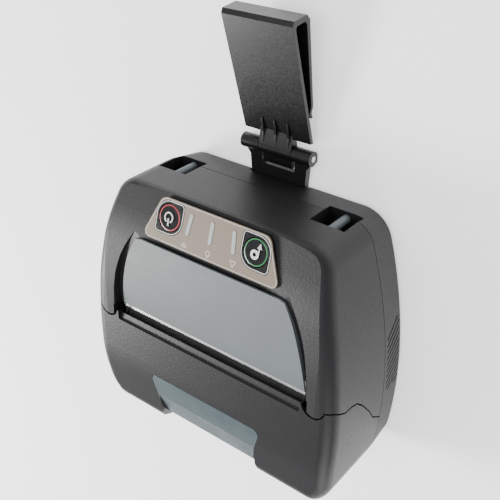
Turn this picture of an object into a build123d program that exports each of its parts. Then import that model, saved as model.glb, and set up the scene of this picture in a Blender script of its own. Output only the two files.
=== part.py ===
from build123d import *
import math
import os

# Belt-worn receipt printer for 112 mm paper, lying on its back.
# Origin at the centre of the back rest face.  +X is the width, +Y points to the belt clip end,
# +Z points out of the front face.  All sizes are millimetres.

# ---------------------------------------------------------------- outer body
WIDTH = 152.0            # widest point of the body
WIDEST_Y = -20.0         # where the body is widest
SIDE_RADIUS = 255.0      # bow of the two long sides in plan
CLIP_END_Y = 67.4        # flat end that carries the belt clip
PLAN_LOW_Y = -73.0       # just past the sloping bottom end
LOW_CORNER_R = 24.0      # bottom end corners in plan
CORNER_R = 12.0          # clip end corners in plan
BACK_CORNER_R = 19.0     # the same corners on the back face
SEAM_Z = 19.0            # parting plane between rear and front shells
SEAM_GAP = 0.3
EDGE_R = 7.0             # rounding round the front face
WALL = 2.2
REAR_TAPER = 1.6         # the rear shell narrows by this much to its back face
BACK_R = 3.0             # rounding round the back face

# front and bottom end in side view: corner points (y, z) and their rounding
FRONT_CORNERS = [(44.0, 60.8, 90.0), (14.0, 63.9, 200.0), (-38.0, 65.8, 100.0), (-65.4, 62.4, 10.0),
                 (-72.4, 51.0, 14.0), (-70.0, 33.0, 0)]
CLIP_SLOPE_END = (90.0, 44.5)
BOTTOM_SEAM_Y = -67.0    # bottom end at the parting plane
REAR_BOTTOM = [(-67.0, SEAM_Z + 1.0), (-65.5, 7.5), (-58.0, 0.0)]

# ------------------------------------------------------------- sunken centre
FLOOR_Z = 58.9           # housing surface under the decor plate
FOLD_Y, FOLD_Z = 44.6, 58.4
PANEL_FALL = 17.7        # degrees that the operation panel falls towards the clip end
FLOOR_SIDE = [(34.0, 71.0), (45.5, 46.0), (51.5, 37.0), (58.2, 21.0), (61.0, -4.0), (61.0, -16.0)]
SHOULDER_OUT, SHOULDER_IN = 66.0, 30.0
SHOULDER_DROP = 3.0      # the shoulders fall inwards by this much

# --------------------------------------------------------------- paper cover
# side seam between cover and front shell, (y, z)
SEAM_LINE = [(-36.5, 18.0), (-30.0, 27.0), (-23.0, 31.5), (-14.0, 39.0), (-9.5, 44.0), (-8.2, 49.0),
             (-8.0, 54.0), (-4.2, 61.5), (-4.2, 75.0)]
COVER_GAP = 0.9
TONGUE_X, TONGUE_Y, TONGUE_R = 65.0, -3.8, 5.5
HINGE_Y, HINGE_Z = -66.5, 17.5
HINGE_PIN_R = 1.5
KNUCKLE_R = 3.1
HINGE_X = 45.0           # middle of each hinge
# recess between the two feet in side view, (y, z): a facet, then the back wall
RECESS_LINE = [(-36.0, 68.3), (-48.0, 64.56), (-61.0, 60.5), (-62.6, 56.0), (-62.6, 50.0), (-61.6, 33.0),
               (-60.5, 15.0), (-58.0, -6.0)]
RECESS_TOP_X, RECESS_LOW_X = 31.5, 36.5   # half widths at the facet and at the feet
WINDOW_TOP_Y, WINDOW_BEND_Y = -35.0, -62.0
WINDOW_TOP_X, WINDOW_LOW_X = 36.3, 28.2
WINDOW_FOOT_Z = 34.0
WINDOW_FLANGE = 1.5      # the window's rim reaches this far behind the cover

# ----------------------------------------------------------------- mechanism
PLATEN_Y, PLATEN_Z, PLATEN_R = -11.5, 53.0, 6.0
PLATEN_HALF = 56.5
SHAFT_R = 2.0
RUN_FIT = 0.05           # radial clearance of turning fits
MODULE = 0.75
PLATEN_TEETH, IDLER_TEETH, PINION_TEETH = 14, 20, 10
GEAR_X0, GEAR_X1 = 64.4, 67.4
PLATE_X = 59.0           # inner face of the chassis side plates
PLATE_T = 1.2
ROLL_Y, ROLL_Z, ROLL_R = -34.0, 31.5, 25.6
BLADE_HALF, BLADE_EDGE_Y, BLADE_BACK_Y = 57.5, -4.4, 4.0
BLADE_T, BLADE_PITCH = 0.6, 1.25

# --------------------------------------------------------------- control area
BUTTON_X, BUTTON_V = 25.6, 1.7
BUTTON_R, BUTTON_HOLE_R = 6.5, 6.85
LED_X = (-13.2, 0.0, 13.2)
LED_LEN, LED_WIDE, LED_FAN = 11.0, 2.0, 7.0

# ------------------------------------------------------------------ belt clip
CLIP_Y, CLIP_Z, BARREL_R = 82.0, 4.4, 3.75
CLIP_PIN_R = 1.5
CLIP_HALF = 19.2
KNUCKLE_HALF = 9.5
BARREL_HALF = 20.3

# -------------------------------------------------------------- other pieces
BATTERY_X, BATTERY_Y0, BATTERY_Y1, BATTERY_TOP = 36.0, 8.5, 42.0, 21.0
BATTERY_LIFT = 0.35      # the pack sits this far inside the back face
STRAP_X, STRAP_HALF, STRAP_DEPTH = 46.0, 9.0, 12.0
STRAP_Z0, STRAP_Z1 = 14.0, 31.0
LEVER_Y0, LEVER_Y1, LEVER_Z0, LEVER_Z1 = 6.0, 27.0, 53.0, 57.6
LEVER_TRAVEL = 3.0
PORT_Y0, PORT_Y1, PORT_Z0, PORT_Z1 = 12.0, 34.0, 26.5, 39.0
BOARD_Z = 24.9


# ------------------------------------------------------------------- helpers
def box(x0, x1, y0, y1, z0, z1):
    return Pos((x0 + x1) / 2, (y0 + y1) / 2, (z0 + z1) / 2) * Box(x1 - x0, y1 - y0, z1 - z0)


def rod_x(radius, x0, x1, y, z):
    return Pos((x0 + x1) / 2, y, z) * Rot(0, 90, 0) * Cylinder(radius, x1 - x0)


def rod_y(radius, y0, y1, x, z):
    return Pos(x, (y0 + y1) / 2, z) * Rot(90, 0, 0) * Cylinder(radius, y1 - y0)


def rod_z(radius, z0, z1, x, y):
    return Pos(x, y, (z0 + z1) / 2) * Cylinder(radius, z1 - z0)


def side_slab(outline, x0, x1):
    """Outline in side view, as (y, z) points or a face, carried from x0 to x1."""
    face = make_face(Polyline(*outline, close=True)) if isinstance(outline, list) else outline
    return extrude(Plane.YZ.offset(x0) * face, x1 - x0, dir=(1, 0, 0))


def raised(face, height):
    return extrude(face, height, dir=(0, 0, 1))


def both_sides(shape):
    return [shape, mirror(shape, Plane.YZ)]


def fuse(*shapes):
    total = shapes[0]
    for shape in shapes[1:]:
        total = total + shape
    return total


def rounded_face(corners):
    """Closed outline of (u, v, radius) corners; a radius of 0 leaves a sharp corner."""
    points = [(u, v) for u, v, _ in corners]
    return make_face(FilletPolyline(*points, radius=[r for _, _, r in corners], close=True))


# ------------------------------------------------------------ outer envelope
def plan_face(inset, corner_r=CORNER_R):
    radius = SIDE_RADIUS - inset

    def edge_x(y):
        return WIDTH / 2 - SIDE_RADIUS + math.sqrt(radius ** 2 - (y - WIDEST_Y) ** 2)

    half, top = WIDTH / 2 - inset, CLIP_END_Y - inset
    low = PLAN_LOW_Y + inset
    top_x, low_x = edge_x(top), edge_x(low)
    outline = [Line((-top_x, top), (top_x, top)),
               ThreePointArc((top_x, top), (half, WIDEST_Y), (low_x, low)),
               Line((low_x, low), (-low_x, low)),
               ThreePointArc((-low_x, low), (-half, WIDEST_Y), (-top_x, top))]
    face = make_face(outline)
    face = fillet(face.vertices().group_by(Axis.Y)[-1], corner_r - inset)
    return fillet(face.vertices().group_by(Axis.Y)[0], LOW_CORNER_R - inset)


def front_profile(inset):
    ends = [(BOTTOM_SEAM_Y, SEAM_Z, 0), (BOTTOM_SEAM_Y + 6.0, 0, 0), (90, 0, 0), (*CLIP_SLOPE_END, 0)]
    face = rounded_face(ends + FRONT_CORNERS)
    return offset(face, -inset, kind=Kind.INTERSECTION) if inset else face


def rim_edges(block, is_cap):
    """Edges where the plan walls meet the faces that is_cap picks."""
    caps = [face for face in block.faces() if is_cap(face)]
    walls = [face for face in block.faces() if not is_cap(face)]
    wall_edges = [edge for face in walls for edge in face.edges()]
    return [edge for face in caps for edge in face.edges() if edge in wall_edges]


def front_envelope(inset):
    plan = extrude(Pos(0, 0, SEAM_Z) * plan_face(inset), 60)
    block = plan & extrude(Plane.YZ * front_profile(inset), 90, both=True)
    low = SEAM_Z + 0.01

    def is_cap(face):
        normal = face.normal_at()
        return abs(normal.X) < 1e-3 and abs(normal.Y) < 0.999 and face.center().Z > low

    rim = [edge for edge in rim_edges(block, is_cap) if edge.center().Z > low]
    return fillet(rim, EDGE_R - inset)


def rear_envelope(inset):
    top = Pos(0, 0, SEAM_Z) * plan_face(inset)
    back = Pos(0, 0, inset) * plan_face(inset + REAR_TAPER, BACK_CORNER_R)
    block = loft([top, back], ruled=True)
    (y0, z0), (y1, z1), (y2, z2) = REAR_BOTTOM
    curve = ThreePointArc((y0 + inset, z0), (y1 + inset, z1 + inset), (y2 + inset / 2, z2 + inset))
    rest = Polyline(curve @ 1, (100, z2 + inset), (100, z0), curve @ 0)
    block &= extrude(Plane.YZ * make_face([curve, rest]), 90, both=True)

    def is_cap(face):
        normal = face.normal_at()
        return abs(normal.X) < 1e-3 and normal.Z < -0.25

    rim = [edge for edge in rim_edges(block, is_cap) if edge.center().Z < SEAM_Z - 0.01]
    return fillet(rim, BACK_R - inset / 2)


def shoulder_cut(drop):
    """Tilts the surface beside the sunken centre inwards."""
    def above(fall):
        crest = [(*CLIP_SLOPE_END, 0), *FRONT_CORNERS[:2], (*FRONT_CORNERS[2][:2], 0)]
        line = [(y, z - fall - drop, radius) for y, z, radius in crest]
        return rounded_face([(90, 120, 0), *line, (line[-1][0], 120, 0)])

    outer = Plane.YZ.offset(SHOULDER_OUT) * above(0)
    inner = Plane.YZ.offset(SHOULDER_IN) * above(SHOULDER_DROP)
    wedge = loft([outer, inner], ruled=True)
    middle = side_slab(above(SHOULDER_DROP), -SHOULDER_IN, SHOULDER_IN)
    return fuse(middle, *both_sides(wedge)) & box(-90, 90, -12, 90, 0, 120)


def floor_cut(grow):
    """Space over the sunken floor that carries the panel and the decor plate."""
    right = Spline([(x + grow, y) for x, y in FLOOR_SIDE])
    left = Spline([(-x - grow, y) for x, y in reversed(FLOOR_SIDE)])
    plan = make_face([right, Line(right @ 1, left @ 0), left, Line(left @ 1, right @ 0)])
    fall = math.tan(math.radians(PANEL_FALL))
    low = FLOOR_Z - grow
    fold_z = FOLD_Z - grow
    outline = [(-20, low), (FOLD_Y - 5, low), (FOLD_Y, fold_z), (90, fold_z - fall * (90 - FOLD_Y)),
               (90, 120), (-20, 120)]
    return raised(plan, 120) & side_slab(outline, -80, 80)


def housing_side(shift):
    """Everything on the clip end side of the cover seam, moved by shift along Y."""
    line = [(y + shift, z) for y, z in SEAM_LINE]
    return side_slab(line + [(100, 75), (100, 0), (line[0][0], 0)], -90, 90)


def tongues(grow, z0):
    post = rod_z(TONGUE_R + grow, z0, 75, TONGUE_X, TONGUE_Y)
    return fuse(*both_sides(post))


panel_plane = Plane(origin=(0, 55.5, FOLD_Z - math.tan(math.radians(PANEL_FALL)) * (55.5 - FOLD_Y)),
                    x_dir=(1, 0, 0),
                    z_dir=(0, math.sin(math.radians(PANEL_FALL)), math.cos(math.radians(PANEL_FALL))))


def on_panel(shape):
    return panel_plane * shape


# ------------------------------------------------------------------- shells
def strap_space(grow):
    """Pocket at each clip end corner that a shoulder strap threads through."""
    pocket = box(STRAP_X - STRAP_HALF - grow, STRAP_X + STRAP_HALF + grow,
                 CLIP_END_Y - STRAP_DEPTH - grow, CLIP_END_Y + 5, STRAP_Z0 - grow, STRAP_Z1 + grow)
    return fuse(*both_sides(pocket))


def strap_rods():
    rod = rod_z(2.2, STRAP_Z0 - 1.4, STRAP_Z1 + 1.4, STRAP_X, CLIP_END_Y - 4.2)
    return fuse(*both_sides(rod))


def screw_post(x, y, z0, z1):
    return rod_z(3.2, z0, z1, x, y)


HOUSING_SCREWS = [(-60, 44), (60, 44)]


def upper_housing():
    skin = front_envelope(0) - shoulder_cut(0) - floor_cut(0)
    hollow = front_envelope(WALL) - shoulder_cut(WALL) - floor_cut(WALL)
    region = housing_side(0) + tongues(0, 57)
    lift = box(-90, 90, -90, 90, SEAM_Z + SEAM_GAP, 90)
    body = (skin - hollow) & region & lift
    collar = box(STRAP_X - STRAP_HALF - 1.6, STRAP_X + STRAP_HALF + 1.6,
                 CLIP_END_Y - STRAP_DEPTH - 1.6, CLIP_END_Y - 1, SEAM_Z + SEAM_GAP, STRAP_Z1 + 1.6)
    body = fuse(body, *both_sides(collar & front_envelope(0)))
    body -= strap_space(0) + strap_rods()
    for x, y in HOUSING_SCREWS:
        post = screw_post(x, y, SEAM_Z + SEAM_GAP, 34) - rod_z(1.2, 10, 32, x, y)
        web = box(min(x, x * 1.15), max(x, x * 1.15), y - 0.8, y + 0.8, SEAM_Z + SEAM_GAP, 34)
        body += (post + web) & (front_envelope(0) - rod_z(1.2, 10, 32, x, y))
    # paper exit and platen space
    body -= box(-61.6, 61.6, -40, -2.4, 34, 80)
    # release lever slot and port window on the left side
    body -= box(-90, -64, LEVER_Y0 - LEVER_TRAVEL - 0.6, LEVER_Y1 + 0.3, LEVER_Z0 - 0.3, LEVER_Z1 + 0.3)
    body -= box(-90, -64, PORT_Y0 - 0.3, PORT_Y1 + 0.3, PORT_Z0 - 0.3, PORT_Z1 + 0.3)
    # button holes and light slots through the floor
    for x in (-BUTTON_X, BUTTON_X):
        body -= on_panel(Pos(x, BUTTON_V, 0) * Cylinder(BUTTON_HOLE_R + 0.25, 12))
    body -= led_bars(0.2, -6, 2)
    return body


def rear_housing():
    solid = rear_envelope(0) - recess(0)
    shell = solid - (rear_envelope(WALL) - recess(WALL))
    # battery pocket with its own walls and roof
    pocket_in = (BATTERY_X + 0.4, BATTERY_Y0 - 0.4, BATTERY_Y1 + 0.4)
    pocket = box(-pocket_in[0], pocket_in[0], pocket_in[1], pocket_in[2], -2, BATTERY_TOP + 0.4)
    walls = box(-pocket_in[0] - 1.5, pocket_in[0] + 1.5, pocket_in[1] - 1.5, pocket_in[2] + 1.5,
                1, BATTERY_TOP + 1.9)
    shell += walls
    # strap pocket floors
    collar = box(STRAP_X - STRAP_HALF - 1.6, STRAP_X + STRAP_HALF + 1.6,
                 CLIP_END_Y - STRAP_DEPTH - 1.6, CLIP_END_Y - 1, STRAP_Z0 - 1.6, SEAM_Z)
    shell = fuse(shell, *both_sides(collar & solid))
    # screw towers, board posts and the thick pad under the clip bracket
    for x, y in HOUSING_SCREWS:
        shell += screw_post(x, y, 1, SEAM_Z) & solid
    for x in (-47, 47):
        for y in (14, 50):
            shell += rod_z(2.6, 1, BOARD_Z, x, y)
    shell += box(-19.5, 19.5, 45.5, CLIP_END_Y - 1, 1, 9) & solid
    for x in (-56.2, 56.2):
        shell += box(x - 1.2, x + 1.2, -5.2, 5, 1, 24)
    shell -= pocket + strap_space(0) + strap_rods()
    for x, y in HOUSING_SCREWS:
        shell -= rod_z(1.7, -1, 30, x, y) + rod_z(3.1, -1, 3.6, x, y)
    # recess and screw holes for the clip bracket
    shell -= box(-17.6, 17.6, 46.5, CLIP_END_Y + 3, -1, 4.9)
    for x in (-9, 9):
        shell -= rod_z(1.25, 0, 8.2, x, 52)
    # battery latch slot, contact slots
    shell -= box(-8.4, 8.4, -0.3, BATTERY_Y0 + 0.1, -1, 3.6)
    shell += box(-10.4, 10.4, -2.0, BATTERY_Y0 - 0.4, 3.6, 5.4)
    for x in (-9, -3, 3, 9):
        shell -= box(x - 1.0, x + 1.0, 14, 18, 15, 30)
    # hinge ears for the paper cover
    for side in (-1, 1):
        for x in (side * HINGE_X - 8.9, side * HINGE_X + 8.9):
            ear = rod_x(KNUCKLE_R, x - 1.9, x + 1.9, HINGE_Y, HINGE_Z)
            web = side_slab([(HINGE_Y - 2.4, HINGE_Z - 2.2), (HINGE_Y + 2.4, 10.6), (HINGE_Y + 3, HINGE_Z),
                             (HINGE_Y + 1.5, HINGE_Z + 1.5)], x - 1.9, x + 1.9)
            shell += ear + web
        gap = rod_x(KNUCKLE_R + 0.4, side * HINGE_X - 6.8, side * HINGE_X + 6.8, HINGE_Y, HINGE_Z)
        shell -= gap
        shell -= rod_x(HINGE_PIN_R, side * HINGE_X - 12, side * HINGE_X + 12, HINGE_Y, HINGE_Z)
    # grip ribs on both sides: slanted grooves
    for k in range(11):
        y = -23 + 3.6 * k
        groove = Pos(0, y, 9.5) * Rot(32, 0, 0) * Box(200, 1.0, 26)
        keep = box(-90, 90, -22, 16, 3.5, 16.5) - rear_envelope(0.7)
        shell -= groove & keep
    return shell


def recess(grow):
    """Space between the two feet of the cover."""
    side = make_face(Polyline(*RECESS_LINE, (-95, -6), (-95, 95), (-36, 95), close=True))
    plan = make_face(Polyline((-RECESS_TOP_X, -40), (RECESS_TOP_X, -40), (RECESS_TOP_X, -61),
                              (RECESS_LOW_X, -78), (-RECESS_LOW_X, -78), (-RECESS_TOP_X, -61), close=True))
    if grow:
        side, plan = (offset(face, grow, kind=Kind.INTERSECTION) for face in (side, plan))
    return raised(Pos(0, 0, -2) * plan, 97) & side_slab(side, -60, 60)


def cover_layer(outer, inner):
    """Skin of the cover between two depths under its surface."""
    return (front_envelope(outer) - recess(outer)) - (front_envelope(inner) - recess(inner))


def window_zone(grow):
    top_x, low_x = WINDOW_TOP_X + grow, WINDOW_LOW_X + grow
    plan = FilletPolyline((-top_x, WINDOW_TOP_Y + grow), (top_x, WINDOW_TOP_Y + grow),
                          (low_x, WINDOW_BEND_Y), (low_x, -80.0), (-low_x, -80.0), (-low_x, WINDOW_BEND_Y),
                          radius=[3.5, 3.5, 8, 0, 0, 8], close=True)
    return raised(Pos(0, 0, WINDOW_FOOT_Z - grow) * make_face(plan), 60)


def cover_window():
    """Clear window that wraps from the front face down between the feet."""
    rim = cover_layer(WALL + 0.05, WALL + 0.8) & window_zone(WINDOW_FLANGE)
    return (cover_layer(0, WALL + 0.8) & window_zone(0)) + rim


def cover_shell():
    body = cover_layer(0, WALL) - housing_side(-COVER_GAP) - tongues(COVER_GAP, 50)
    body &= box(-90, 90, -90, 90, SEAM_Z + SEAM_GAP, 90)
    # lip under the tear blade
    body -= side_slab([(-10.0, 70), (-10.0, 64.3), (-9.3, 63.3), (-4, 61.8), (-4, 70)], -57.9, 57.9)
    body -= window_zone(0.25)
    front = front_envelope(0)
    # arms that carry the platen
    arm = side_slab([(-27, 63.0), (-13.2, 62.9), (-12.4, 58.5), (-7, 55.5), (-7, 50.6), (-11.5, 48.6),
                     (-16, 50)], 62.2, 63.8)
    arm -= rod_x(SHAFT_R + RUN_FIT, 60, 66, PLATEN_Y, PLATEN_Z)
    body = fuse(body, *both_sides(arm & front))
    # hinge knuckles
    for side in (-1, 1):
        x0, x1 = side * HINGE_X - 6.4, side * HINGE_X + 6.4
        knuckle = rod_x(KNUCKLE_R, x0, x1, HINGE_Y, HINGE_Z)
        gusset = side_slab([(HINGE_Y - 3.0, HINGE_Z), (-68.8, 27.5), (-66.6, 27.5), (HINGE_Y + 2, 20.0)],
                           x0, x1)
        body += knuckle + gusset
        for x in (side * HINGE_X - 8.9, side * HINGE_X + 8.9):
            body -= rod_x(KNUCKLE_R + 0.5, x - 2.3, x + 2.3, HINGE_Y, HINGE_Z)
        body -= rod_x(HINGE_PIN_R + RUN_FIT, x0 - 1, x1 + 1, HINGE_Y, HINGE_Z)
    return body


# ------------------------------------------------------- front face fittings
def plate_outline():
    side = [(45.0, 41.2), (49.6, 33.0), (53.7, 21.0), (56.6, 7.0), (57.5, BLADE_EDGE_Y + 2.6)]
    right = Spline(side)
    left = Spline([(-x, y) for x, y in reversed(side)])
    right_top = ThreePointArc((41.5, 42.0), (44.0, 41.45), side[0])
    left_top = ThreePointArc(left @ 1, (-44.0, 41.45), (-41.5, 42.0))
    return make_face([right_top, right, Line(right @ 1, left @ 0), left, left_top,
                      Line((-41.5, 42.0), (41.5, 42.0))])


def front_plate():
    crown_r = 206.0
    crown = rod_x(crown_r, -70, 70, 19, 61.2 - crown_r)
    plate = raised(plate_outline(), 90) & crown & box(-70, 70, -10, 60, FLOOR_Z + 0.05, 70)
    return plate - box(-BLADE_HALF - 0.5, BLADE_HALF + 0.5, -10, BLADE_BACK_Y + 0.3, 50,
                       FLOOR_Z + BLADE_T + 0.1)


def tear_blade():
    teeth = round(2 * BLADE_HALF / BLADE_PITCH)
    edge = []
    for k in range(teeth):
        x = -BLADE_HALF + k * BLADE_PITCH
        edge += [(x, BLADE_EDGE_Y + 0.8), (x + BLADE_PITCH / 2, BLADE_EDGE_Y)]
    edge.append((BLADE_HALF, BLADE_EDGE_Y + 0.8))
    outline = edge + [(BLADE_HALF, BLADE_BACK_Y), (-BLADE_HALF, BLADE_BACK_Y)]
    return raised(Pos(0, 0, FLOOR_Z + 0.05) * make_face(Polyline(*outline, close=True)), BLADE_T)


def led_bars(grow, z0, z1):
    bars = []
    for x in LED_X:
        lean = LED_FAN * x / LED_X[-1]
        bar = extrude(SlotOverall(LED_LEN + 2 * grow, LED_WIDE + 2 * grow, rotation=90 + lean), z1 - z0)
        bars.append(on_panel(Pos(x, BUTTON_V + 0.4, z0) * bar))
    return fuse(*bars)


def leaf(grow, mirrored):
    """Rounded square with two opposite corners drawn in to the button's ring."""
    half = 8.3 + grow
    sharp, full = 2.2, 7.9
    order = [full, sharp, full, sharp] if mirrored else [sharp, full, sharp, full]
    corners = [(half, half), (-half, half), (-half, -half), (half, -half)]
    return make_face(FilletPolyline(*corners, radius=order, close=True))


def operation_panel():
    film = make_face(FilletPolyline((-41.2, -11.2), (41.2, -11.2), (31.6, 10.9), (-31.6, 10.9),
                                    radius=[3.0, 3.0, 5.0, 5.0], close=True))
    film = raised(film, 0.7)
    for x, flip in ((-BUTTON_X, False), (BUTTON_X, True)):
        film -= Pos(x, BUTTON_V, -1) * raised(leaf(0.12, flip), 3)
    return on_panel(Pos(0, 0, 0.05) * film) - led_bars(0.12, -1, 2)


def button_plate(x, flip):
    plate = raised(leaf(0, flip), 0.75) - Cylinder(BUTTON_HOLE_R, 5)
    return on_panel(Pos(x, BUTTON_V, 0.05) * plate)


def push_button(x):
    cap = Pos(0, 0, -0.4) * Cylinder(BUTTON_R, 2.4)
    dome_r = 24.0
    cap &= Pos(0, 0, 1.5 - dome_r) * Sphere(dome_r)
    cap = fuse(cap, Pos(0, 0, -2.2) * Cylinder(1.6, 1.6))
    return on_panel(Pos(x, BUTTON_V, 0) * cap)


def panel_board():
    board = Pos(0, 0.6, -6.2) * Box(68, 15, 1.2)
    for x in (-32, 0, 32):
        board -= Pos(x, -5.4, -6.2) * Cylinder(0.9, 4)
    return on_panel(board)


def button_switches():
    switches = []
    for x in (-BUTTON_X, BUTTON_X):
        body = Pos(x, BUTTON_V, -5.0) * Box(6, 6, 1.1) + Pos(x, BUTTON_V, -4.1) * Cylinder(1.7, 0.9)
        switches.append(on_panel(body))
    return Compound(children=switches)


def led_lenses():
    lenses = led_bars(0, 0.1, 0.95) + led_bars(-0.15, -5.0, 0.2)
    return Compound(children=list(lenses.solids()))


# ----------------------------------------------------------------- mechanism
def gear(teeth, x0, x1, y, z, turn):
    """Spur gear on an X axis; turn is the angle of one tooth, in degrees from +Y towards +Z."""
    pitch_r = MODULE * teeth / 2
    tip, root = pitch_r + 0.85 * MODULE, pitch_r - 1.2 * MODULE
    step = 2 * math.pi / teeth
    outline = []
    for k in range(teeth):
        middle = math.radians(turn) + k * step
        for radius, part in ((root, -0.27), (pitch_r, -0.2), (tip, -0.1),
                             (tip, 0.1), (pitch_r, 0.2), (root, 0.27)):
            angle = middle + part * step
            outline.append((y + radius * math.cos(angle), z + radius * math.sin(angle)))
    return side_slab(outline, x0, x1)


MESH_GAP = 0.12
# unit direction in which the opening cover first lifts the platen, and the idler's bearing behind it
REACH = math.hypot(PLATEN_Y - HINGE_Y, PLATEN_Z - HINGE_Z)
LEAVE_Y, LEAVE_Z = -(PLATEN_Z - HINGE_Z) / REACH, (PLATEN_Y - HINGE_Y) / REACH
LEAVE_ANGLE = math.degrees(math.atan2(-LEAVE_Z, -LEAVE_Y))
IDLER_DIST = MODULE * (PLATEN_TEETH + IDLER_TEETH) / 2 + MESH_GAP
IDLER_Y = PLATEN_Y + IDLER_DIST * math.cos(math.radians(LEAVE_ANGLE))
IDLER_Z = PLATEN_Z + IDLER_DIST * math.sin(math.radians(LEAVE_ANGLE))
IDLER_TOOTH = LEAVE_ANGLE + 180 + 180 / IDLER_TEETH
PINION_ANGLE = IDLER_TOOTH - 9 * 360 / IDLER_TEETH
PINION_DIST = MODULE * (PINION_TEETH + IDLER_TEETH) / 2 + MESH_GAP
MOTOR_Y = IDLER_Y + PINION_DIST * math.cos(math.radians(PINION_ANGLE))
MOTOR_Z = IDLER_Z + PINION_DIST * math.sin(math.radians(PINION_ANGLE))
MOTOR_R = 9.2


def platen_gear():
    blank = gear(PLATEN_TEETH, GEAR_X0, GEAR_X1, PLATEN_Y, PLATEN_Z, LEAVE_ANGLE)
    return blank - rod_x(SHAFT_R, 60, 70, PLATEN_Y, PLATEN_Z)


def idler_gear():
    blank = gear(IDLER_TEETH, GEAR_X0, GEAR_X1, IDLER_Y, IDLER_Z, IDLER_TOOTH)
    return blank - rod_x(1.5 + RUN_FIT, 60, 70, IDLER_Y, IDLER_Z)


def idler_axle():
    return fuse(rod_x(1.5, PLATE_X + PLATE_T, GEAR_X1 + 0.4, IDLER_Y, IDLER_Z),
                rod_x(2.6, PLATE_X + PLATE_T, GEAR_X0 - 0.4, IDLER_Y, IDLER_Z),
                rod_x(2.4, GEAR_X1 + 0.4, GEAR_X1 + 1.0, IDLER_Y, IDLER_Z))


def motor_pinion():
    turn = PINION_ANGLE + 180 + 180 / PINION_TEETH
    return fuse(gear(PINION_TEETH, GEAR_X0, GEAR_X1, MOTOR_Y, MOTOR_Z, turn),
                rod_x(1.2, PLATE_X - 0.4, GEAR_X0, MOTOR_Y, MOTOR_Z))


def motor():
    can = rod_x(MOTOR_R, 42, PLATE_X - 0.8, MOTOR_Y, MOTOR_Z)
    flange = box(PLATE_X - 0.8, PLATE_X, MOTOR_Y - 5, MOTOR_Y + 5, MOTOR_Z - 10.9, MOTOR_Z + 10.9)
    return fuse(can, flange) - rod_x(1.25, PLATE_X - 3, 65, MOTOR_Y, MOTOR_Z)


def print_chassis():
    """Steel side plates with open bearing slots, tied by a bar behind the print head."""
    outline = [(-17.0, 50.4), (-15.2, 46.2), (-10.5, 42.5), (-9, 38), (-9, 25.4), (18.5, 25.4), (18.5, 50),
               (2, 55.6), (-7.8, 55.6), (-15.9, 51.9)]
    plate = side_slab(outline, PLATE_X, PLATE_X + PLATE_T)
    plate -= rod_x(4.1, 50, 70, PLATEN_Y, PLATEN_Z)
    side_y, side_z = 4.1 * LEAVE_Z, -4.1 * LEAVE_Y
    slot = [(PLATEN_Y - side_y, PLATEN_Z - side_z), (PLATEN_Y + side_y, PLATEN_Z + side_z),
            (PLATEN_Y + side_y + 12 * LEAVE_Y, PLATEN_Z + side_z + 12 * LEAVE_Z),
            (PLATEN_Y - side_y + 12 * LEAVE_Y, PLATEN_Z - side_z + 12 * LEAVE_Z)]
    plate -= side_slab(slot, 50, 70)
    near, far = both_sides(plate)
    near -= rod_x(1.5, 50, 70, IDLER_Y, IDLER_Z)
    near -= rod_x(2.0, 50, 70, MOTOR_Y, MOTOR_Z)
    tie = box(-PLATE_X, PLATE_X, 2.6, 4.0, 48.5, 55.2)
    feet = box(-PLATE_X - PLATE_T, -PLATE_X + 5, -5, 5, 24.2, 25.4)
    return fuse(near, far, tie, *both_sides(feet))


def roll_bay():
    tray = rod_x(ROLL_R + 1.2, -58.2, 58.2, ROLL_Y, ROLL_Z) - rod_x(ROLL_R, -57.0, 57.0, ROLL_Y, ROLL_Z)
    keep = side_slab([(-57.0, 0), (-57.0, 16.5), (-44, 18), (-22, 18), (-10, 34), (0, 34), (0, 0)],
                     -60, 60)
    return tray & keep


def print_head():
    """Ceramic strip whose heater line meets the platen."""
    return box(-54, 54, PLATEN_Y + PLATEN_R + 0.25, PLATEN_Y + PLATEN_R + 1.25, 43, 56.2)


def head_heatsink():
    face_y = PLATEN_Y + PLATEN_R + 1.25
    sink = box(-55, 55, face_y, face_y + 2.4, 42.5, 56.0)
    for z in (44.5, 46.5):
        sink -= box(-60, 60, face_y + 1.2, face_y + 5, z, z + 0.9)
    return sink


def head_springs():
    y0 = PLATEN_Y + PLATEN_R + 3.65
    coils = [rod_y(2.2, y0, 2.6, x, 52) - rod_y(1.7, y0 - 1, 4, x, 52) for x in (-36, -12, 12, 36)]
    return Compound(children=coils)


def paper_sensor():
    return box(-6, 6, -9.4, -6.6, 38.5, 43.0) + box(-2, 2, -6.6, -5.6, 40, 42)


def platen_roller():
    return rod_x(PLATEN_R, -PLATEN_HALF, PLATEN_HALF, PLATEN_Y, PLATEN_Z) - rod_x(
        SHAFT_R, -60, 60, PLATEN_Y, PLATEN_Z)


def platen_shaft():
    return rod_x(SHAFT_R, -64.6, GEAR_X1 + 0.6, PLATEN_Y, PLATEN_Z)


def platen_bearings():
    ring = rod_x(4.0, PLATE_X - 0.2, PLATE_X + PLATE_T + 0.6, PLATEN_Y, PLATEN_Z)
    ring -= rod_x(SHAFT_R + RUN_FIT, 50, 70, PLATEN_Y, PLATEN_Z)
    return Compound(children=both_sides(ring))


def cover_hinge_pins():
    pins = [rod_x(HINGE_PIN_R, side * HINGE_X - 10.8, side * HINGE_X + 10.8, HINGE_Y, HINGE_Z)
            for side in (-1, 1)]
    return Compound(children=pins)


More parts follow.
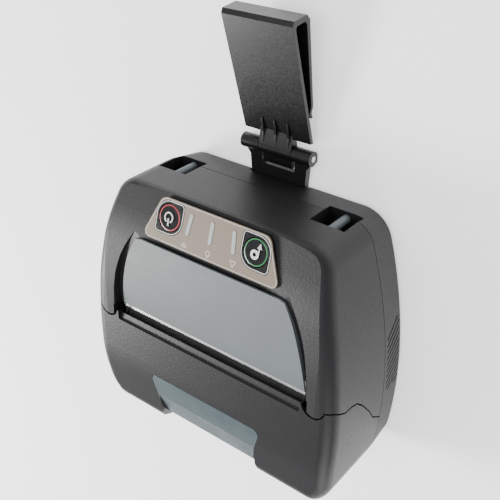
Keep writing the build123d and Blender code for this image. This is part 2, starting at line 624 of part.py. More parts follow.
# --------------------------------------------------------------- electronics
def control_board():
    board = box(-52, 52, 10, 53.5, BOARD_Z, BOARD_Z + 1.6)
    top = BOARD_Z + 1.6
    board += box(-12, 2, 20, 34, top, top + 1.4) + box(12, 24, 38, 50, top, top + 1.2)
    board += box(-20, -16, 40, 48, top, top + 3.0) + box(6, 26, 12, 16, top, top + 4.2)
    board += rod_z(3.0, top, top + 6, -40, 20) + rod_z(3.0, top, top + 6, -40, 28)
    for x in (-47, 47):
        for y in (14, 50):
            board -= rod_z(1.4, 20, 30, x, y)
    return board


def radio_module():
    base = BOARD_Z + 1.65
    return box(-38, -24, 36, 51, base, base + 0.8) + box(-37, -25, 36.8, 47, base + 0.8, base + 2.6)


def head_ribbon():
    """Flat flex cable from the print head to the control board."""
    upper = [(-2.6, 42.3), (-2.6, 34), (0.5, 30.9), (6, 30.9), (9.2, 29.2)]
    lower = [(9.2, 28.9), (6, 30.65), (0.4, 30.65), (-2.85, 33.9), (-2.85, 42.3)]
    return side_slab(upper + lower, 8, 24)


def battery_pack():
    pack = box(-BATTERY_X, BATTERY_X, BATTERY_Y0, BATTERY_Y1, BATTERY_LIFT, BATTERY_TOP)
    corners = pack.edges().filter_by(Axis.Z)
    pack = fillet(corners, 2.0)
    pack = chamfer(pack.faces().sort_by(Axis.Z)[-1].edges(), 0.8)
    return pack - box(-10, 10, BATTERY_Y1 - 6, BATTERY_Y1 - 2, -1, 1.6)


def battery_latch():
    slider = box(-8.0, 8.0, 2.6, BATTERY_Y0 - 0.2, BATTERY_LIFT, 3.2)
    for k in range(4):
        slider -= box(-6, 6, 3.4 + 1.1 * k, 3.9 + 1.1 * k, 0, BATTERY_LIFT + 0.5)
    return slider


def battery_contacts():
    blades = [box(x - 0.6, x + 0.6, 14.6, 17.4, BATTERY_TOP + 0.3, BOARD_Z) for x in (-9, -3, 3, 9)]
    return Compound(children=blades)


def usb_port():
    body = box(-67.6, -61, 15.0, 23.2, 28.0, 33.8)
    return body - box(-70, -62, 15.7, 22.5, 30.6, 33.2) + box(-66.8, -61, 16.6, 21.6, 31.6, 32.2)


def dc_jack():
    return box(-66.2, -58, 24.6, 32.6, 28.0, 37.0) - rod_x(2.75, -70, -60, 28.6, 32.6)


def port_board():
    return box(-66.2, -60.8, 12.5, 33.5, 26.9, 28.0)


# ---------------------------------------------------------- side and rear fittings
def side_patch(y0, y1, z0, z1):
    return (front_envelope(0) - front_envelope(WALL)) & box(-90, -60, y0, y1, z0, z1)


def release_lever():
    lever = side_patch(LEVER_Y0, LEVER_Y1, LEVER_Z0, LEVER_Z1)
    foot = box(-72.0, -67.0, 12, 16, 54.0, 56.6)
    return lever + foot


def lever_spring():
    return rod_y(1.3, 3.6, 11.8, -69.0, 55.3) - rod_y(0.9, 0, 40, -69.0, 55.3)


def port_cover():
    flap = side_patch(PORT_Y0, PORT_Y1, PORT_Z0, PORT_Z1)
    tab = box(-71.6, -69.4, 22.6, 23.6, 28.5, 37.0)
    return flap + tab


def strap_bars():
    return Compound(children=list(strap_rods().solids()))


def housing_screws():
    screws = []
    for x, y in HOUSING_SCREWS:
        head = rod_z(2.8, 1.4, 3.5, x, y) - rod_z(0.9, 1.0, 2.6, x, y)
        screws.append(head + rod_z(1.2, 3.5, 30, x, y))
    return Compound(children=screws)


def bracket_screws():
    screws = []
    for x in (-9, 9):
        head = Pos(x, 52, 1.75) * Cone(2.7, 1.4, 1.7) - rod_z(0.8, 0.5, 1.9, x, 52)
        screws.append(head + rod_z(1.25, 2.4, 8.0, x, 52))
    return Compound(children=screws)


# ------------------------------------------------------------------ belt clip
def clip_bracket():
    outline = [(-17.2, 47.0), (17.2, 47.0), (16.0, 66.5), (16.8, 75.5), (BARREL_HALF, 79.4),
               (BARREL_HALF, CLIP_Y), (-BARREL_HALF, CLIP_Y), (-BARREL_HALF, 79.4), (-16.8, 75.5),
               (-16.0, 66.5)]
    plate = raised(Pos(0, 0, 0.8) * make_face(Polyline(*outline, close=True)), 3.6)
    plate -= box(-KNUCKLE_HALF - 0.3, KNUCKLE_HALF + 0.3, 72.2, 92, -1, 12)
    barrel = rod_x(BARREL_R, -BARREL_HALF, BARREL_HALF, CLIP_Y, CLIP_Z)
    barrel -= box(-KNUCKLE_HALF - 0.3, KNUCKLE_HALF + 0.3, 70, 92, -1, 12)
    bracket = plate + barrel - rod_x(CLIP_PIN_R, -30, 30, CLIP_Y, CLIP_Z)
    for x in (-9, 9):
        bracket -= rod_z(1.35, 0, 8, x, 52) + Pos(x, 52, 1.55) * Cone(3.1, 1.5, 2.2)
    return bracket


def clip_pin():
    return rod_x(CLIP_PIN_R, -BARREL_HALF - 0.2, BARREL_HALF + 0.2, CLIP_Y, CLIP_Z)


CLIP_FRONT = [(89.4, 5.4), (147.3, 22.5), (149.6, 21.6), (150.6, 12.0), (148.4, 9.8), (108.0, 4.6),
              (105.0, 5.6), (102.6, 4.6)]
CLIP_INNER = [(102.4, 5.8), (104.6, 7.2), (108.2, 6.2), (146.4, 11.9), (148.0, 13.4), (147.2, 19.4),
              (145.8, 20.0), (89.4, 3.3)]


def clip_flap():
    hook = side_slab(CLIP_FRONT + CLIP_INNER, -CLIP_HALF, CLIP_HALF)
    barrel = rod_x(BARREL_R, -KNUCKLE_HALF, KNUCKLE_HALF, CLIP_Y, CLIP_Z)
    neck = side_slab([(CLIP_Y, CLIP_Z + 3.6), (91.5, 6.0), (91.5, 3.4), (CLIP_Y, 1.4)],
                     -KNUCKLE_HALF, KNUCKLE_HALF)
    heel = side_slab([(CLIP_Y, 6.2), (75.6, 5.2), (73.4, 4.2), (73.4, 2.4), (CLIP_Y, 1.0)],
                     -KNUCKLE_HALF + 1.2, KNUCKLE_HALF - 1.2)
    flap = fuse(hook, neck, barrel, heel)
    for x in (-7.4, 0, 7.4):
        flap += side_slab([(CLIP_Y + 1.5, CLIP_Z + 3.2), (90, 7.0), (97.5, 8.3), (97.5, 7.0), (88, 4.4)],
                          x - 0.6, x + 0.6)
    return flap - rod_x(CLIP_PIN_R + RUN_FIT, -30, 30, CLIP_Y, CLIP_Z)


# --------------------------------------------------------------------- output
os.makedirs("parts", exist_ok=True)

PARTS = {
    "rear_housing": rear_housing(),
    "upper_housing": upper_housing(),
    "front_plate": front_plate(),
    "operation_panel": operation_panel(),
    "power_button_plate": button_plate(-BUTTON_X, False),
    "feed_button_plate": button_plate(BUTTON_X, True),
    "power_button": push_button(-BUTTON_X),
    "feed_button": push_button(BUTTON_X),
    "button_switches": button_switches(),
    "panel_board": panel_board(),
    "led_lenses": led_lenses(),
    "tear_blade": tear_blade(),
    "cover_shell": cover_shell(),
    "cover_window": cover_window(),
    "cover_hinge_pins": cover_hinge_pins(),
    "platen_roller": platen_roller(),
    "platen_shaft": platen_shaft(),
    "platen_bearings": platen_bearings(),
    "platen_gear": platen_gear(),
    "idler_gear": idler_gear(),
    "idler_axle": idler_axle(),
    "motor": motor(),
    "motor_pinion": motor_pinion(),
    "print_chassis": print_chassis(),
    "print_head": print_head(),
    "head_heatsink": head_heatsink(),
    "head_springs": head_springs(),
    "head_ribbon": head_ribbon(),
    "paper_sensor": paper_sensor(),
    "roll_bay": roll_bay(),
    "control_board": control_board(),
    "radio_module": radio_module(),
    "battery_pack": battery_pack(),
    "battery_latch": battery_latch(),
    "battery_contacts": battery_contacts(),
    "port_board": port_board(),
    "usb_port": usb_port(),
    "dc_jack": dc_jack(),
    "port_cover": port_cover(),
    "release_lever": release_lever(),
    "lever_spring": lever_spring(),
    "strap_bars": strap_bars(),
    "housing_screws": housing_screws(),
    "bracket_screws": bracket_screws(),
    "clip_bracket": clip_bracket(),
    "clip_pin": clip_pin(),
    "clip_flap": clip_flap(),
}

for name, shape in PARTS.items():
    export_step(shape, f"parts/{name}.step")
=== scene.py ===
import bpy
import math
from mathutils import Matrix, Vector


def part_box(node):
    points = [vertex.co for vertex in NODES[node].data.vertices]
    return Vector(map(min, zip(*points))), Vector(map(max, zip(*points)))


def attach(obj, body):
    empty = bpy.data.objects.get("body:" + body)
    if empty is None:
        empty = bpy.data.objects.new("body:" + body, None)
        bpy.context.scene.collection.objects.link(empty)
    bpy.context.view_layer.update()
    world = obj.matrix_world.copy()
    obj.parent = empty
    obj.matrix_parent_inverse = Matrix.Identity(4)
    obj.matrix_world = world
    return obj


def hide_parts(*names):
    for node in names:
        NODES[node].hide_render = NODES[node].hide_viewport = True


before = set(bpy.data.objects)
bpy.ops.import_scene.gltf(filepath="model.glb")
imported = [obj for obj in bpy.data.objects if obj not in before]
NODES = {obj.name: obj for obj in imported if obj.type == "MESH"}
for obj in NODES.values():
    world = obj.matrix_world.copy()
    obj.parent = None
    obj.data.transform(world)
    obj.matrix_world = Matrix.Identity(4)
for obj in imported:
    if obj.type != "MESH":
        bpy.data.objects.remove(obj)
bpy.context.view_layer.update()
MM = 0.001


# ------------------------------------------------------------------ materials
def new_material(name):
    material = bpy.data.materials.new(name)
    material.use_nodes = True
    tree = material.node_tree
    return material, tree, tree.nodes["Principled BSDF"]


def add(tree, kind, inputs=None, **settings):
    node = tree.nodes.new(kind)
    for key, value in settings.items():
        setattr(node, key, value)
    for key, value in (inputs or {}).items():
        node.inputs[key].default_value = value
    return node


def coordinates(tree, stretch=(1, 1, 1)):
    """Position on the piece, scaled so that a pattern can be drawn out along one axis."""
    place = add(tree, "ShaderNodeTexCoord")
    mapping = add(tree, "ShaderNodeMapping")
    mapping.inputs["Scale"].default_value = stretch
    tree.links.new(place.outputs["Object"], mapping.inputs["Vector"])
    return mapping.outputs["Vector"]


def noise(tree, vector, scale, detail=3.0, rough=0.55):
    node = add(tree, "ShaderNodeTexNoise", {"Scale": scale, "Detail": detail, "Roughness": rough})
    tree.links.new(vector, node.inputs["Vector"])
    return node.outputs["Fac"]


def cells(tree, vector, scale):
    node = add(tree, "ShaderNodeTexVoronoi", {"Scale": scale})
    tree.links.new(vector, node.inputs["Vector"])
    return node.outputs["Distance"]


def remap(tree, value, low, high, new_low, new_high):
    node = add(tree, "ShaderNodeMapRange", {1: low, 2: high, 3: new_low, 4: new_high})
    tree.links.new(value, node.inputs[0])
    return node.outputs[0]


def tint(tree, value, dark, light):
    ramp = add(tree, "ShaderNodeValToRGB")
    ramp.color_ramp.elements[0].position, ramp.color_ramp.elements[1].position = 0.3, 0.7
    ramp.color_ramp.elements[0].color = (*dark, 1)
    ramp.color_ramp.elements[1].color = (*light, 1)
    tree.links.new(value, ramp.inputs["Fac"])
    return ramp.outputs["Color"]


def bump(tree, shader, value, strength, distance, edge=0.0):
    node = add(tree, "ShaderNodeBump", {"Strength": strength, "Distance": distance})
    tree.links.new(value, node.inputs["Height"])
    if edge:
        soft = add(tree, "ShaderNodeBevel", {"Radius": edge}, samples=4)
        tree.links.new(soft.outputs["Normal"], node.inputs["Normal"])
    tree.links.new(node.outputs["Normal"], shader.inputs["Normal"])


def shade(colour, factor):
    return tuple(min(1.0, c * factor) for c in colour)


def plastic(name, colour, rough, grain=1500.0, strength=0.35, mottle=0.1, edge=0.25 * MM, coat=0.0,
            gloss=0.33):
    """Moulded plastic: fine spark grain, faint mottling and softened edges."""
    material, tree, shader = new_material(name)
    vector = coordinates(tree)
    fine = noise(tree, vector, grain, 4.0)
    spots = cells(tree, vector, grain * 0.55)
    broad = noise(tree, vector, 45.0, 4.0)
    mixed = add(tree, "ShaderNodeMath", operation="MULTIPLY")
    tree.links.new(fine, mixed.inputs[0])
    tree.links.new(spots, mixed.inputs[1])
    tree.links.new(tint(tree, broad, shade(colour, 1 - mottle), shade(colour, 1 + mottle)),
                   shader.inputs["Base Color"])
    tree.links.new(remap(tree, fine, 0.3, 0.7, rough - 0.07, rough + 0.07), shader.inputs["Roughness"])
    shader.inputs["Coat Weight"].default_value = coat
    shader.inputs["Specular IOR Level"].default_value = gloss
    bump(tree, shader, mixed.outputs[0], strength, 0.12 * MM, edge)
    return material


def metal(name, colour, rough, stretch=(1, 1, 1), grain=900.0, strength=0.12):
    """Drawn or rolled metal: the stretch sets the direction of its brush lines."""
    material, tree, shader = new_material(name)
    lines = noise(tree, coordinates(tree, stretch), grain, 5.0, 0.7)
    broad = noise(tree, coordinates(tree), 60.0, 3.0)
    tree.links.new(tint(tree, broad, shade(colour, 0.88), shade(colour, 1.08)), shader.inputs["Base Color"])
    tree.links.new(remap(tree, lines, 0.25, 0.75, rough - 0.1, rough + 0.12), shader.inputs["Roughness"])
    shader.inputs["Metallic"].default_value = 1.0
    bump(tree, shader, lines, strength, 0.05 * MM, 0.12 * MM)
    return material


def film(name, colour, rough, scuff, grain=2600.0):
    """Printed film or painted plate with faint scuffs along the width."""
    material, tree, shader = new_material(name)
    vector = coordinates(tree)
    streaks = noise(tree, coordinates(tree, (0.12, 1.0, 1.0)), 520.0, 5.0, 0.65)
    patches = noise(tree, vector, 38.0, 3.0)
    marks = add(tree, "ShaderNodeMath", operation="MULTIPLY")
    tree.links.new(remap(tree, streaks, 0.62, 0.8, 0.0, 1.0), marks.inputs[0])
    tree.links.new(remap(tree, patches, 0.48, 0.7, 0.0, 1.0), marks.inputs[1])
    base = tint(tree, patches, shade(colour, 0.96), shade(colour, 1.05))
    mix = add(tree, "ShaderNodeMix", data_type="RGBA")
    mix.inputs[7].default_value = (*shade(colour, 1 + scuff), 1)
    tree.links.new(marks.outputs[0], mix.inputs[0])
    tree.links.new(base, mix.inputs[6])
    tree.links.new(mix.outputs[2], shader.inputs["Base Color"])
    tree.links.new(remap(tree, streaks, 0.3, 0.8, rough, rough + 0.12), shader.inputs["Roughness"])
    bump(tree, shader, noise(tree, vector, grain, 3.0), 0.12, 0.05 * MM, 0.12 * MM)
    return material


def rubber(name, colour, rough=0.72):
    material, tree, shader = new_material(name)
    vector = coordinates(tree)
    fine = noise(tree, vector, 1900.0, 5.0, 0.7)
    tree.links.new(tint(tree, noise(tree, vector, 70.0, 4.0), shade(colour, 0.85), shade(colour, 1.2)),
                   shader.inputs["Base Color"])
    tree.links.new(remap(tree, fine, 0.3, 0.7, rough - 0.08, rough + 0.08), shader.inputs["Roughness"])
    bump(tree, shader, fine, 0.3, 0.06 * MM, 0.2 * MM)
    return material


def circuit(name):
    """Green board: copper traces show as a lighter net under the lacquer."""
    material, tree, shader = new_material(name)
    vector = coordinates(tree, (1, 1, 0.2))
    traces = add(tree, "ShaderNodeTexBrick", {"Scale": 160.0, "Mortar Size": 0.06})
    tree.links.new(vector, traces.inputs["Vector"])
    colour = tint(tree, traces.outputs["Fac"], (0.012, 0.09, 0.035), (0.03, 0.19, 0.07))
    tree.links.new(colour, shader.inputs["Base Color"])
    tree.links.new(remap(tree, noise(tree, vector, 400.0), 0.3, 0.7, 0.28, 0.42), shader.inputs["Roughness"])
    bump(tree, shader, traces.outputs["Fac"], 0.15, 0.04 * MM)
    return material


def window_plastic(name):
    """Tinted clear cover window: smoky, glossy, with faint haze."""
    material, tree, shader = new_material(name)
    vector = coordinates(tree)
    haze = noise(tree, vector, 55.0, 4.0)
    tree.links.new(tint(tree, haze, (0.075, 0.105, 0.115), (0.105, 0.14, 0.15)), shader.inputs["Base Color"])
    tree.links.new(remap(tree, haze, 0.3, 0.7, 0.16, 0.26), shader.inputs["Roughness"])
    shader.inputs["Transmission Weight"].default_value = 0.25
    bump(tree, shader, noise(tree, vector, 1400.0), 0.06, 0.04 * MM, 0.3 * MM)
    return material


def print_ink(name, colour, rough=0.4):
    """Screen-printed ink."""
    material, tree, shader = new_material(name)
    vector = coordinates(tree)
    speck = noise(tree, vector, 3000.0, 3.0)
    tree.links.new(tint(tree, speck, shade(colour, 0.9), colour), shader.inputs["Base Color"])
    tree.links.new(remap(tree, speck, 0.3, 0.7, rough - 0.05, rough + 0.05), shader.inputs["Roughness"])
    bump(tree, shader, speck, 0.08, 0.03 * MM)
    return material


BODY = (0.0095, 0.0095, 0.0105)
MATERIALS = {
    "body": plastic("body_plastic", BODY, 0.46, strength=0.55),
    "cover": plastic("cover_plastic", shade(BODY, 0.95), 0.44, strength=0.55),
    "rear": plastic("rear_plastic", shade(BODY, 0.85), 0.5, strength=0.5),
    "bay": plastic("bay_plastic", (0.03, 0.03, 0.033), 0.35, strength=0.15),
    "clip": plastic("clip_plastic", (0.007, 0.007, 0.0072), 0.35, grain=900.0, strength=0.12, coat=0.15),
    "latch": plastic("latch_plastic", (0.06, 0.06, 0.065), 0.42),
    "battery": plastic("battery_plastic", (0.018, 0.018, 0.02), 0.4, strength=0.25),
    "strap": plastic("strap_plastic", (0.10, 0.115, 0.125), 0.4, strength=0.2),
    "lever": plastic("lever_plastic", (0.36, 0.38, 0.40), 0.42, strength=0.2),
    "gloss_black": plastic("gloss_black", (0.004, 0.004, 0.0045), 0.16, grain=500.0, strength=0.01,
                           mottle=0.05, coat=0.3),
    "leaf_black": plastic("leaf_black", (0.005, 0.005, 0.0055), 0.3, grain=900.0, strength=0.015,
                          mottle=0.05, gloss=0.25),
    "nylon": plastic("nylon_white", (0.62, 0.61, 0.56), 0.45, strength=0.15),
    "nylon_dark": plastic("nylon_dark", (0.06, 0.06, 0.06), 0.4, strength=0.15),
    "jack": plastic("jack_plastic", (0.012, 0.012, 0.012), 0.35, strength=0.15),
    "sensor": plastic("sensor_resin", (0.015, 0.012, 0.02), 0.22, strength=0.1),
    "light": plastic("light_bar", (0.46, 0.48, 0.48), 0.25, grain=2500.0, strength=0.08, mottle=0.04),
    "ceramic": plastic("head_ceramic", (0.72, 0.70, 0.64), 0.25, strength=0.06, mottle=0.03),
    "ribbon": plastic("ribbon_film", (0.55, 0.50, 0.40), 0.3, strength=0.05),
    "plate": film("front_plate_paint", (0.125, 0.142, 0.147), 0.5, 0.6),
    "panel": film("panel_film", (0.220, 0.170, 0.122), 0.45, 0.12),
    "roller": rubber("roller_rubber", (0.035, 0.035, 0.037)),
    "flap": rubber("flap_rubber", (0.03, 0.03, 0.032), 0.62),
    "window": window_plastic("window_clear"),
    "board": circuit("circuit_board"),
    "blade": metal("blade_steel", (0.97, 0.97, 0.96), 0.3, (0.1, 1, 1), strength=0.04),
    "steel": metal("turned_steel", (0.62, 0.62, 0.63), 0.26, (0.15, 1, 1)),
    "zinc": metal("zinc_sheet", (0.52, 0.53, 0.55), 0.36),
    "alloy": metal("drawn_alloy", (0.66, 0.67, 0.68), 0.34, (0.1, 1, 1)),
    "spring": metal("spring_wire", (0.70, 0.70, 0.72), 0.22),
    "brass": metal("pinion_brass", (0.72, 0.52, 0.22), 0.3),
    "gold": metal("contact_gold", (0.83, 0.62, 0.25), 0.25),
    "oxide": metal("black_oxide", (0.10, 0.10, 0.105), 0.4),
    "nickel": metal("nickel_shell", (0.68, 0.66, 0.62), 0.24),
    "white_ink": print_ink("white_ink", (0.74, 0.74, 0.72)),
    "red_ink": print_ink("red_ink", (0.52, 0.055, 0.075)),
    "green_ink": print_ink("green_ink", (0.025, 0.23, 0.07)),
    "grey_ink": print_ink("grey_ink", (0.62, 0.58, 0.53)),
}

FINISH = {
    "body": ["upper_housing"], "cover": ["cover_shell"], "rear": ["rear_housing"], "bay": ["roll_bay"],
    "clip": ["clip_bracket", "clip_flap"], "latch": ["battery_latch"], "battery": ["battery_pack"],
    "strap": ["strap_bars"], "lever": ["release_lever"], "gloss_black": ["power_button", "feed_button"],
    "leaf_black": ["power_button_plate", "feed_button_plate"], "nylon": ["platen_gear", "idler_gear"],
    "nylon_dark": ["platen_bearings"], "jack": ["dc_jack"], "sensor": ["paper_sensor"],
    "light": ["led_lenses"], "ceramic": ["print_head"], "ribbon": ["head_ribbon"],
    "plate": ["front_plate"], "panel": ["operation_panel"], "roller": ["platen_roller"],
    "flap": ["port_cover"], "window": ["cover_window"], "blade": ["tear_blade"],
    "board": ["panel_board", "control_board", "port_board"],
    "steel": ["platen_shaft", "cover_hinge_pins", "clip_pin", "idler_axle"],
    "zinc": ["print_chassis", "motor"], "alloy": ["head_heatsink"], "brass": ["motor_pinion"],
    "gold": ["battery_contacts"], "oxide": ["housing_screws", "bracket_screws"],
    "nickel": ["usb_port", "radio_module", "button_switches"],
}
for finish, members in FINISH.items():
    for member in members:
        NODES[member].data.materials.clear()
        NODES[member].data.materials.append(MATERIALS[finish])


# -------------------------------------------------------------------- pieces
def mesh_piece(name, points, faces, finish, body, thick=0.0, smooth=False):
    mesh = bpy.data.meshes.new(name)
    mesh.from_pydata([tuple(p) for p in points], [], faces)
    mesh.update()
    piece = bpy.data.objects.new(name, mesh)
    bpy.context.scene.collection.objects.link(piece)
    mesh.materials.append(MATERIALS[finish])
    if smooth:
        for polygon in mesh.polygons:
            polygon.use_smooth = True
    if thick:
        shell = piece.modifiers.new("thickness", "SOLIDIFY")
        shell.thickness, shell.offset = thick, 0.0
    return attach(piece, body)


STEPS_PER_TURN, WIRE_SIDES = 20, 8


def coil(name, centre, axis, radius, wire, length, turns, finish, body):
    """Wound wire spring from centre, along a unit axis."""
    axis = Vector(axis)
    side = axis.orthogonal().normalized()
    other = axis.cross(side)
    points, faces = [], []
    steps, ring = turns * STEPS_PER_TURN, WIRE_SIDES
    for k in range(steps + 1):
        t = k / steps
        angle = 2 * math.pi * turns * t
        out = math.cos(angle) * side + math.sin(angle) * other
        middle = Vector(centre) + axis * (wire + (length - 2 * wire) * t) + out * (radius - wire)
        for j in range(ring):
            turn = 2 * math.pi * j / ring
            points.append(middle + wire * (math.cos(turn) * out + math.sin(turn) * axis))
        if k:
            for j in range(ring):
                a, b = (k - 1) * ring, k * ring
                faces.append((a + j, a + (j + 1) % ring, b + (j + 1) % ring, b + j))
    faces.append(tuple(range(ring))[::-1])
    faces.append(tuple(steps * ring + j for j in range(ring)))
    return mesh_piece(name, points, faces, finish, body, smooth=True)


# springs behind the print head and at the release lever
HEAD_SPRING_X = (-36, -12, 12, 36)
HEAD_SPRING_R, HEAD_WIRE_R, HEAD_TURNS = 2.15, 0.28, 4
LEVER_SPRING_R, LEVER_WIRE_R, LEVER_TURNS = 1.25, 0.18, 9

low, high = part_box("head_springs")
for index, x in enumerate(HEAD_SPRING_X):
    made = coil(f"head_spring_{index + 1}", (x * MM, low.y, (low.z + high.z) / 2), (0, 1, 0),
                HEAD_SPRING_R * MM, HEAD_WIRE_R * MM, high.y - low.y, HEAD_TURNS, "spring", "printer")
    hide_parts("head_springs")
low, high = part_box("lever_spring")
lever_coil = coil("lever_spring_coil", ((low.x + high.x) / 2, low.y, (low.z + high.z) / 2), (0, 1, 0),
                  LEVER_SPRING_R * MM, LEVER_WIRE_R * MM, high.y - low.y, LEVER_TURNS, "spring", "printer")
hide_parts("lever_spring")

# ------------------------------------------------- printing on the button panel
# the panel falls away from its top edge; u runs across it, v down it and w out of it, all in mm
FALL = math.radians(17.7)
PANEL_Y, PANEL_TOP_Y, PANEL_TOP_Z = 55.5, 44.6, 58.4
PANEL_ORIGIN = Vector((0, PANEL_Y, PANEL_TOP_Z - math.tan(FALL) * (PANEL_Y - PANEL_TOP_Y))) * MM
PANEL_U = Vector((1, 0, 0))
PANEL_V = Vector((0, math.cos(FALL), -math.sin(FALL)))
PANEL_W = Vector((0, math.sin(FALL), math.cos(FALL)))
BUTTON_X, BUTTON_V = 25.6, 1.7
BUTTON_TOP, DOME_R, DOME_LIFT = 1.5, 24.0, 0.05
LEAF_HALF, LEAF_ROUND, LEAF_SHARP = 8.3, 7.9, 2.2
FILM_TOP, LEAF_TOP = 0.75, 0.80
INK_LIFT, INK_THICK = 0.03, 0.03


def on_panel(u, v, w):
    return PANEL_ORIGIN + (u * PANEL_U + v * PANEL_V + w * PANEL_W) * MM


def strip(name, left, right, height, finish, body, closed=True):
    """Flat band between two matching lines of (u, v) points; height gives w at a point."""
    points = [on_panel(u, v, height(u, v)) for pair in zip(left, right) for u, v in pair]
    count = len(left)
    last = count if closed else count - 1
    faces = [(2 * k, 2 * k + 1, (2 * k + 3) % (2 * count), (2 * k + 2) % (2 * count)) for k in range(last)]
    return mesh_piece(name, points, faces, finish, body, thick=INK_THICK * MM)


def arc(u, v, radius, start, end, steps):
    """Points of an arc about (u, v), with its angles in degrees."""
    points = []
    for k in range(steps + 1):
        angle = math.radians(start + (end - start) * k / steps)
        points.append((u + radius * math.cos(angle), v + radius * math.sin(angle)))
    return points


def ring(name, u, v, inner, outer, height, finish, body, start=0, end=360, steps=64):
    """Flat ring about (u, v), or part of one between two angles."""
    closed = end - start >= 360
    left, right = (arc(u, v, r, start, end, steps) for r in (inner, outer))
    if closed:
        left, right = left[:-1], right[:-1]
    return strip(name, left, right, height, finish, body, closed)


def bar(name, start, end, wide, height, finish, body, steps=6, tip=None):
    """Flat bar between two points; a tip width makes it taper."""
    (u0, v0), (u1, v1) = start, end
    length = math.hypot(u1 - u0, v1 - v0)
    nu, nv = -(v1 - v0) / length, (u1 - u0) / length
    far = wide if tip is None else tip
    left, right = [], []
    for k in range(steps + 1):
        t = k / steps
        half = (wide + (far - wide) * t) / 2
        u, v = u0 + (u1 - u0) * t, v0 + (v1 - v0) * t
        left.append((u + nu * half, v + nv * half))
        right.append((u - nu * half, v - nv * half))
    return strip(name, left, right, height, finish, body, closed=False)


def dome(centre_u):
    """Height of a button's domed face, with a little lift for the ink."""
    def height(u, v):
        reach = (u - centre_u) ** 2 + (v - BUTTON_V) ** 2
        return BUTTON_TOP - DOME_R + math.sqrt(DOME_R ** 2 - reach) + DOME_LIFT
    return height


def level(w):
    """Constant height, just proud of a flat face at w."""
    return lambda u, v: w + INK_LIFT


def leaf_line(centre_u, inset, flip, steps=14):
    """Outline of a button's leaf plate, drawn in by the inset."""
    half = LEAF_HALF - inset
    radii = [LEAF_ROUND, LEAF_SHARP] * 2 if flip else [LEAF_SHARP, LEAF_ROUND] * 2
    line = []
    for (su, sv), radius, start in zip(((1, 1), (-1, 1), (-1, -1), (1, -1)), radii, (0, 90, 180, 270)):
        r = radius - inset
        line += arc(centre_u + su * (half - r), BUTTON_V + sv * (half - r), r, start, start + 90, steps)
    return line


OUTLINE_FROM, OUTLINE_TO = 0.25, 0.6
KEY_RING_INNER, KEY_RING_OUTER = 5.75, 6.3
for side, label, colour, flip in ((-1, "power", "red_ink", False), (1, "feed", "green_ink", True)):
    u = side * BUTTON_X
    strip(f"{label}_plate_outline", leaf_line(u, OUTLINE_FROM, flip), leaf_line(u, OUTLINE_TO, flip),
          level(LEAF_TOP), "white_ink", "printer")
    ring(f"{label}_ring", u, BUTTON_V, KEY_RING_INNER, KEY_RING_OUTER, dome(u), colour, f"{label}_key")

# power mark: open ring with a stroke
ring("power_mark_ring", -BUTTON_X, BUTTON_V + 0.2, 2.0, 2.75, dome(-BUTTON_X), "white_ink", "power_key",
     start=-62, end=242, steps=40)
bar("power_mark_stroke", (-BUTTON_X, BUTTON_V - 3.9), (-BUTTON_X, BUTTON_V - 0.1), 0.75, dome(-BUTTON_X),
    "white_ink", "power_key")

# feed mark: roll and a strip with an arrow head
ROLL_V, STRIP_U = BUTTON_V - 0.9, BUTTON_X + 2.0
ring("feed_mark_roll", BUTTON_X, ROLL_V, 0.95, 2.3, dome(BUTTON_X), "white_ink", "feed_key", steps=32)
bar("feed_mark_strip", (STRIP_U, ROLL_V), (STRIP_U, BUTTON_V + 2.6), 0.6, dome(BUTTON_X), "white_ink",
    "feed_key")
bar("feed_mark_arrow", (STRIP_U, BUTTON_V + 2.2), (STRIP_U, BUTTON_V + 4.7), 2.5, dome(BUTTON_X),
    "white_ink", "feed_key", tip=0.05)

# corners of the panel film as (u, v, corner radius)
FILM_CORNERS = [(-41.2, -11.2, 3.0), (41.2, -11.2, 3.0), (31.6, 10.9, 5.0), (-31.6, 10.9, 5.0)]


def panel_line(inset, steps=10):
    """Outline of the panel film, drawn in by the inset."""
    line = []
    for k, (u, v, radius) in enumerate(FILM_CORNERS):
        before, after = FILM_CORNERS[k - 1], FILM_CORNERS[(k + 1) % 4]
        into = Vector((before[0] - u, before[1] - v)).normalized()
        out = Vector((after[0] - u, after[1] - v)).normalized()
        half = into.angle(out) / 2
        centre = Vector((u, v)) + (into + out).normalized() * (radius / math.sin(half))
        first = Vector((u, v)) + into * (radius / math.tan(half)) - centre
        last = Vector((u, v)) + out * (radius / math.tan(half)) - centre
        turn = first.angle_signed(last)
        for j in range(steps + 1):
            spoke = first.copy()
            spoke.rotate(Matrix.Rotation(-turn * j / steps, 2))
            spoke = centre + spoke * ((radius - inset) / radius)
            line.append((spoke.x, spoke.y))
    return line


EDGE_FROM, EDGE_TO = 0.45, 0.75
strip("panel_edge_line", panel_line(EDGE_FROM), panel_line(EDGE_TO), level(FILM_TOP), "grey_ink", "printer")

# small marks under the three lights: waves, a plug and a warning triangle
MARK_V = -7.6
WAVE_U, WAVE_RADII, WAVE_LINE = -14.5, (0.7, 1.5, 2.3), 0.32
for number, radius in enumerate(WAVE_RADII):
    ring(f"wave_mark_{number + 1}", WAVE_U, MARK_V + 1.0, radius, radius + WAVE_LINE, level(FILM_TOP),
         "white_ink", "printer", start=-135, end=-45, steps=12)
ring("plug_mark_body", 0.0, MARK_V, 1.0, 1.35, level(FILM_TOP), "white_ink", "printer", steps=28)
bar("plug_mark_stem", (0, MARK_V - 1.2), (0, MARK_V - 2.4), 0.35, level(FILM_TOP), "white_ink",
    "printer")
TRIANGLE = [(13.0, MARK_V + 1.4), (16.2, MARK_V + 1.4), (14.6, MARK_V - 1.5)]
for number in range(3):
    bar(f"warning_mark_{number + 1}", TRIANGLE[number], TRIANGLE[(number + 1) % 3], 0.32,
        level(FILM_TOP), "white_ink", "printer")

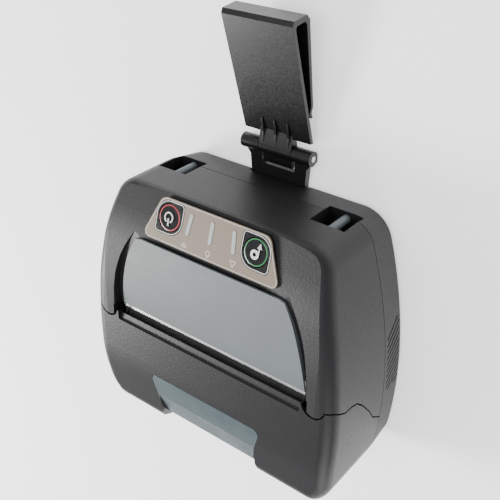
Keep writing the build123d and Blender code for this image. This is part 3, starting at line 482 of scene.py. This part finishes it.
# ------------------------------------------------------------------- studio
FLOOR_HALF, FLOOR_DROP, FLOOR_GLOW, WORLD_GLOW = 4, 0.0004, 0.85, 0.8

floor_mesh = bpy.data.meshes.new("floor")
floor_mesh.from_pydata([(x * FLOOR_HALF, y * FLOOR_HALF, 0) for x, y in ((-1, -1), (1, -1), (1, 1), (-1, 1))],
                       [], [(0, 1, 2, 3)])
floor = bpy.data.objects.new("floor", floor_mesh)
bpy.context.scene.collection.objects.link(floor)
floor.location.z = -FLOOR_DROP
floor_material, floor_tree, floor_shader = new_material("studio_floor")
floor_tone = tint(floor_tree, noise(floor_tree, coordinates(floor_tree), 3.0), (0.93, 0.93, 0.93),
                  (0.95, 0.95, 0.95))
floor_tree.links.new(floor_tone, floor_shader.inputs["Base Color"])
floor_shader.inputs["Roughness"].default_value = 0.9
floor_shader.inputs["Emission Color"].default_value = (1, 1, 1, 1)
floor_shader.inputs["Emission Strength"].default_value = FLOOR_GLOW
floor_mesh.materials.append(floor_material)

world = bpy.data.worlds.new("studio")
bpy.context.scene.world = world
world.use_nodes = True
world.node_tree.nodes["Background"].inputs[0].default_value = (0.97, 0.98, 1.0, 1)
world.node_tree.nodes["Background"].inputs[1].default_value = WORLD_GLOW


def lamp(name, place, aim, size, energy, colour=(1, 1, 1)):
    data = bpy.data.lights.new(name, "AREA")
    data.shape, data.size, data.energy, data.color = "DISK", size, energy, colour
    light = bpy.data.objects.new(name, data)
    bpy.context.scene.collection.objects.link(light)
    light.location = place
    light.rotation_euler = (Vector(aim) - Vector(place)).to_track_quat("-Z", "Y").to_euler()


LAMP_AIM = (0, 0, 0.03)
WARM, COOL = (1.0, 0.98, 0.96), (0.95, 0.97, 1.0)
lamp("key", (-0.80, -0.30, 0.60), LAMP_AIM, 0.40, 16.0, WARM)
lamp("fill", (0.40, -0.80, 0.50), LAMP_AIM, 0.6, 4.0)
lamp("top", (0.0, 0.35, 1.1), LAMP_AIM, 0.7, 5.0, COOL)

# the camera looks down on the clip end with the button panel towards it
CAMERA_RIGHT, CAMERA_BACK = Vector((0.788, 0.0, -0.616)), Vector((0.528, 0.515, 0.675))
CAMERA_PLACE = Vector((0.2079, 0.2384, 0.2923))
LENS, SENSOR, CLIP_START = 57.6, 36.0, 0.01

camera_data = bpy.data.cameras.new("camera")
camera = bpy.data.objects.new("camera", camera_data)
bpy.context.scene.collection.objects.link(camera)
matrix = Matrix((CAMERA_RIGHT, CAMERA_BACK.cross(CAMERA_RIGHT), CAMERA_BACK)).transposed().to_4x4()
matrix.translation = CAMERA_PLACE
camera.matrix_world = matrix
camera_data.lens, camera_data.sensor_width, camera_data.clip_start = LENS, SENSOR, CLIP_START
bpy.context.scene.camera = camera
